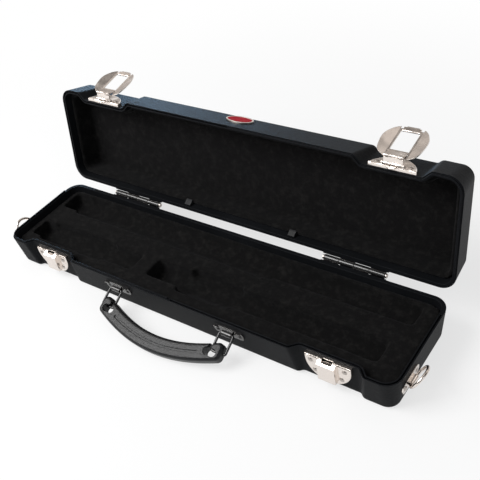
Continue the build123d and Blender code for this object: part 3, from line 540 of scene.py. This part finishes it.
def enamel(name, colour):
    """Bare field of the badge, nearly matt."""
    material, tree, shader, place = new_material(name)
    cloud = noise(tree, place, ENAMEL_SCALE, detail=3.0)
    darker = tuple(part * ENAMEL_SHADE for part in colour)
    shade = mixed(tree, between(tree, cloud, *ENAMEL_PATCHES), rgba(colour), rgba(darker))
    tree.links.new(shade, shader.inputs["Base Color"])
    tree.links.new(bump(tree, cloud, ENAMEL_DEPTH), shader.inputs["Normal"])
    tree.links.new(between(tree, cloud, *ENAMEL_ROUGHNESS), shader.inputs["Roughness"])
    shader.inputs["Specular IOR Level"].default_value = ENAMEL_GLOSS
    return material


def dress(nodes, material):
    """Give CAD nodes or pieces a material."""
    for node in nodes:
        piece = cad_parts[node] if isinstance(node, str) else node
        piece.data.materials.clear()
        piece.data.materials.append(material)


# ------------------------------------------------------------------ modelling helpers
def pick(piece):
    """Make one object the only selected and active one."""
    bpy.ops.object.select_all(action="DESELECT")
    piece.select_set(True)
    bpy.context.view_layer.objects.active = piece


def merged_copy(name, node):
    """A copy of a CAD node with its loose triangles merged into one closed surface."""
    piece = bpy.data.objects.new(name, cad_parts[node].data.copy())
    bpy.context.scene.collection.objects.link(piece)
    pick(piece)
    bpy.ops.mesh.customdata_custom_splitnormals_clear()
    bpy.ops.object.mode_set(mode="EDIT")
    bpy.ops.mesh.select_all(action="SELECT")
    bpy.ops.mesh.remove_doubles(threshold=SAME_POINT)
    bpy.ops.mesh.normals_make_consistent(inside=False)
    bpy.ops.object.mode_set(mode="OBJECT")
    return piece


def apply_modifier(piece, kind, **settings):
    """Add a modifier, set it and apply it."""
    modifier = piece.modifiers.new(kind.title(), kind)
    for key, value in settings.items():
        setattr(modifier, key, value)
    pick(piece)
    bpy.ops.object.modifier_apply(modifier=modifier.name)


def plush_over(name, node, sizes):
    """Plush laid over a moulded core: rounded over every edge, with a slow unevenness."""
    piece = merged_copy(name, node)
    apply_modifier(piece, "REMESH", mode="VOXEL", voxel_size=sizes.cell, use_smooth_shade=True)
    # three rounds of smoothing for each half cell of the cloth's thickness
    rounds = max(2, round(2 * sizes.thickness / sizes.cell) * 3)
    apply_modifier(piece, "SMOOTH", factor=0.5, iterations=rounds)
    wave = bpy.data.textures.new(name + "_wave", "CLOUDS")
    wave.noise_scale = sizes.wave
    wave.noise_depth = 1
    apply_modifier(
        piece, "DISPLACE", texture=wave, texture_coords="LOCAL", strength=sizes.swell, mid_level=0.5
    )
    pick(piece)
    bpy.ops.object.shade_smooth()
    return piece


# ------------------------------------------------------------------ operators
class FLUTE_CASE_OT_shells(bpy.types.Operator):
    """Give the two half-shells their moulded grain"""

    bl_idname = "flute_case.shells"
    bl_label = "Finish the shells"

    def execute(self, context):
        finish = context.scene.shell_finish
        grained = moulded_plastic(
            "grained shell",
            finish,
            depth=0.00018,
            roughness=finish.roughness,
            dust_amount=0.2,
            gloss=0.06,
        )
        dress(("base_shell", "lid_shell"), grained)
        return {"FINISHED"}


class FLUTE_CASE_OT_base_plush(bpy.types.Operator):
    """Cover the insert of the base, with its three cavities, in plush"""

    bl_idname = "flute_case.base_plush"
    bl_label = "Line the base"

    def execute(self, context):
        sizes = context.scene.plush_sizes
        piece = plush_over("insert_plush", "base_lining", sizes)
        dress([piece], plush("insert plush", context.scene.cloth_finish))
        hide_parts("base_lining")
        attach(piece, "base")
        return {"FINISHED"}


class FLUTE_CASE_OT_lid_plush(bpy.types.Operator):
    """Cover the tray lining of the lid in plush"""

    bl_idname = "flute_case.lid_plush"
    bl_label = "Line the lid"

    def execute(self, context):
        sizes = context.scene.plush_sizes
        piece = plush_over("lid_plush", "lid_lining", sizes)
        dress([piece], plush("lid plush", context.scene.cloth_finish))
        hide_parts("lid_lining")
        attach(piece, "lid")
        return {"FINISHED"}


class FLUTE_CASE_OT_lugs(bpy.types.Operator):
    """Give the lugs that hold the lid lining a dull grained finish"""

    bl_idname = "flute_case.lugs"
    bl_label = "Finish the lugs"

    def execute(self, context):
        finish = context.scene.shell_finish
        dull = moulded_plastic(
            "dull lug", finish, depth=0.00005, roughness=0.55, dust_amount=1.0, gloss=0.25
        )
        dress(("lining_tabs",), dull)
        return {"FINISHED"}


class FLUTE_CASE_OT_hardware(bpy.types.Operator):
    """Plate the latches and strap rings, lacquer the hinges, and dull the rivets and pins"""

    bl_idname = "flute_case.hardware"
    bl_label = "Finish the hardware"

    def execute(self, context):
        finish = context.scene.metal_finish
        bright = plated_metal(
            "bright nickel", finish.nickel, roughness=0.12, stretch=LINES_ALONG, edge_radius=finish.edge
        )
        satin = plated_metal(
            "satin nickel", finish.nickel, roughness=0.27, stretch=LINES_ALONG, edge_radius=finish.edge
        )
        wire = plated_metal(
            "nickel wire",
            finish.nickel,
            roughness=0.14,
            stretch=LINES_AROUND,
            edge_radius=finish.edge * WIRE_EDGE,
        )
        heads = plated_metal(
            "rivet heads",
            finish.rivet,
            roughness=0.26,
            stretch=LINES_EVEN,
            edge_radius=finish.edge * SMALL_EDGE,
        )
        black = lacquered_metal("hinge lacquer", finish.lacquer, finish.nickel, finish.edge, wear=0.15)
        for side in SIDES:
            dress((f"keeper_{side}", f"latch_plate_{side}"), bright)
            dress((f"latch_lever_{side}",), satin)
            dress((f"latch_link_{side}", f"strap_plate_{side}"), bright)
            dress((f"hinge_base_leaf_{side}", f"hinge_lid_leaf_{side}"), black)
            dress((f"strap_ring_{side}",), wire)
            dress((f"hinge_pin_{side}", f"latch_link_pin_{side}", f"latch_lever_pin_{side}"), heads)
        dress(("keeper_rivets", "latch_plate_rivets", "strap_plate_rivets"), heads)
        dress(("hinge_base_rivets", "hinge_lid_rivets"), black)
        return {"FINISHED"}


class FLUTE_CASE_OT_handle(bpy.types.Operator):
    """Finish the handle: grained grip, lacquered rings, brackets and rivets"""

    bl_idname = "flute_case.handle"
    bl_label = "Finish the handle"

    def execute(self, context):
        shell = context.scene.shell_finish
        metal = context.scene.metal_finish
        grained = moulded_plastic(
            "grained grip", shell, depth=0.00016, roughness=0.34, dust_amount=0.15, gloss=0.3
        )
        dress(("handle_grip",), grained)
        lacquer = lacquered_metal("black lacquer", metal.lacquer, metal.nickel, metal.edge, wear=0.3)
        held = [f"{part}_{side}" for part in ("handle_bracket", "handle_ring") for side in SIDES]
        dress((*held, "handle_bracket_rivets"), lacquer)
        return {"FINISHED"}


class FLUTE_CASE_OT_badge(bpy.types.Operator):
    """Finish the blank badge: satin border and a bare enamel field"""

    bl_idname = "flute_case.badge"
    bl_label = "Finish the badge"

    def execute(self, context):
        finish = context.scene.metal_finish
        border = plated_metal(
            "badge border",
            finish.nickel,
            roughness=0.3,
            stretch=LINES_EVEN,
            edge_radius=finish.edge * SMALL_EDGE,
        )
        dress(("badge_rim",), border)
        dress(("badge_face",), enamel("badge enamel", finish.enamel))
        return {"FINISHED"}


# ------------------------------------------------------------------ stage
def pale_floor(colour):
    """A floor that shades softly near the case and fades into plain white further out."""
    bpy.ops.object.select_all(action="DESELECT")
    bpy.ops.mesh.primitive_plane_add(size=FLOOR_SIZE, location=(0.0, 0.0, 0.0))
    floor = bpy.context.active_object
    floor.name = "floor"
    material, tree, shader, place = new_material("pale floor")
    shader.inputs["Base Color"].default_value = rgba(colour)
    shader.inputs["Roughness"].default_value = FLOOR_ROUGHNESS
    shader.inputs["Specular IOR Level"].default_value = FLOOR_GLOSS
    glow = tree.nodes.new("ShaderNodeEmission")
    glow.inputs["Color"].default_value = rgba(WHITE)
    rays = tree.nodes.new("ShaderNodeLightPath").outputs
    distance = vector_node(tree, "LENGTH", place)["Value"]
    seen = math_node(tree, "MULTIPLY", rays["Is Camera Ray"], between(tree, distance, *FLOOR_GLOW))
    mirrored = math_node(tree, "MULTIPLY", rays["Is Glossy Ray"], FLOOR_GLOW_MIRRORED)
    blend = tree.nodes.new("ShaderNodeMixShader")
    tree.links.new(math_node(tree, "MAXIMUM", seen, mirrored), blend.inputs["Fac"])
    tree.links.new(shader.outputs["BSDF"], blend.inputs[1])
    tree.links.new(glow.outputs["Emission"], blend.inputs[2])
    output = next(n for n in tree.nodes if n.type == "OUTPUT_MATERIAL")
    tree.links.new(blend.outputs["Shader"], output.inputs["Surface"])
    floor.data.materials.append(material)


def soft_box(name, power):
    """One of the rectangular soft lamps, looking at the middle of the case."""
    place, size, colour = LAMPS[name]
    data = bpy.data.lights.new(name, "AREA")
    data.shape = "RECTANGLE"
    data.size, data.size_y = size
    data.energy = power
    data.color = colour
    lamp = bpy.data.objects.new(name, data)
    lamp.location = place
    view = Vector(LAMP_TARGET) - Vector(place)
    lamp.rotation_euler = view.to_track_quat("-Z", "Y").to_euler()
    bpy.context.scene.collection.objects.link(lamp)
    return lamp


def only_on(lamp, nodes):
    """Let a lamp reach these CAD nodes and nothing else."""
    reached = bpy.data.collections.new("lit by " + lamp.name)
    for node in nodes:
        reached.objects.link(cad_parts[node])
    lamp.light_linking.receiver_collection = reached


def light_around(scene, ambient):
    """World: white to the camera, plain light on matt parts, and in glossy ones a mirrored sky
    that is bright low down and overhead, with dark cards in it."""
    scene.world = bpy.data.worlds.new("studio")
    scene.world.use_nodes = True
    tree = scene.world.node_tree
    background = next(n for n in tree.nodes if n.type == "BACKGROUND")
    rays = tree.nodes.new("ShaderNodeLightPath").outputs
    direction = tree.nodes.new("ShaderNodeTexCoord").outputs["Generated"]
    axes = tree.nodes.new("ShaderNodeSeparateXYZ")
    tree.links.new(direction, axes.inputs[0])
    height = axes.outputs["Z"]
    sky = math_node(tree, "ADD", between(tree, height, *LOW_SKY), between(tree, height, *HIGH_SKY))
    for towards, card in DARK_CARDS:
        likeness = vector_node(tree, "DOT_PRODUCT", direction, towards)["Value"]
        sky = math_node(tree, "MULTIPLY", sky, between(tree, likeness, *card))
    glossy = rays["Is Glossy Ray"]
    mirrored = math_node(tree, "MULTIPLY", glossy, sky)
    plain = math_node(tree, "MULTIPLY", math_node(tree, "SUBTRACT", 1.0, glossy), ambient)
    seen = math_node(tree, "MAXIMUM", rays["Is Camera Ray"], rays["Is Transmission Ray"])
    level = math_node(tree, "MAXIMUM", math_node(tree, "ADD", mirrored, plain), seen)
    tree.links.new(level, background.inputs["Strength"])
    warm = math_node(tree, "MULTIPLY", glossy, between(tree, height, *WARM_SKY))
    tree.links.new(mixed(tree, warm, rgba(WHITE), rgba(SKY_TINT)), background.inputs["Color"])


def set_camera(scene, lens):
    """The camera, from its place and the directions of its right and its top."""
    data = bpy.data.cameras.new("camera")
    data.sensor_width = SENSOR_WIDTH
    data.lens = lens
    camera = bpy.data.objects.new("camera", data)
    right = Vector(CAMERA_RIGHT)
    up = Vector(CAMERA_UP)
    turn = Matrix((right, up, right.cross(up))).transposed().to_4x4()
    camera.matrix_world = Matrix.Translation(CAMERA_PLACE) @ turn
    scene.collection.objects.link(camera)
    scene.camera = camera


class FLUTE_CASE_OT_studio(bpy.types.Operator):
    """Set the pale floor, the soft lamps and the camera"""

    bl_idname = "flute_case.studio"
    bl_label = "Set the studio"

    def execute(self, context):
        scene = context.scene
        studio = scene.studio
        pale_floor(studio.floor)
        soft_box("key", studio.key_power)
        soft_box("fill", studio.fill_power)
        only_on(soft_box("rim", studio.rim_power), LIT_FROM_BEHIND)
        light_around(scene, studio.ambient)
        set_camera(scene, studio.lens)
        scene.view_settings.view_transform = "Standard"
        return {"FINISHED"}


# ------------------------------------------------------------------ panel and registration
class FLUTE_CASE_PT_panel(bpy.types.Panel):
    """Steps and settings of the flute case"""

    bl_idname = "FLUTE_CASE_PT_panel"
    bl_label = "Flute Case"
    bl_space_type = "VIEW_3D"
    bl_region_type = "UI"
    bl_category = "Flute Case"

    def draw(self, context):
        for step in STEPS:
            self.layout.operator(step.bl_idname)
        for name, kind in SETTINGS.items():
            box = self.layout.box()
            box.label(text=kind.__doc__)
            for key in kind.__annotations__:
                box.prop(getattr(context.scene, name), key)


STEPS = (
    FLUTE_CASE_OT_shells,
    FLUTE_CASE_OT_base_plush,
    FLUTE_CASE_OT_lid_plush,
    FLUTE_CASE_OT_lugs,
    FLUTE_CASE_OT_hardware,
    FLUTE_CASE_OT_handle,
    FLUTE_CASE_OT_badge,
    FLUTE_CASE_OT_studio,
)


def register():
    """Register every class and hang the settings on the scene."""
    for kind in (*SETTINGS.values(), *STEPS, FLUTE_CASE_PT_panel):
        bpy.utils.register_class(kind)
    for name, kind in SETTINGS.items():
        setattr(bpy.types.Scene, name, PointerProperty(type=kind))


def unregister():
    """Undo register."""
    for name in SETTINGS:
        delattr(bpy.types.Scene, name)
    for kind in (FLUTE_CASE_PT_panel, *reversed(STEPS), *SETTINGS.values()):
        bpy.utils.unregister_class(kind)


def main():
    """Run every step in order."""
    register()
    for step in STEPS:
        family, action = step.bl_idname.split(".")
        getattr(getattr(bpy.ops, family), action)()


if __name__ == "__main__":
    main()
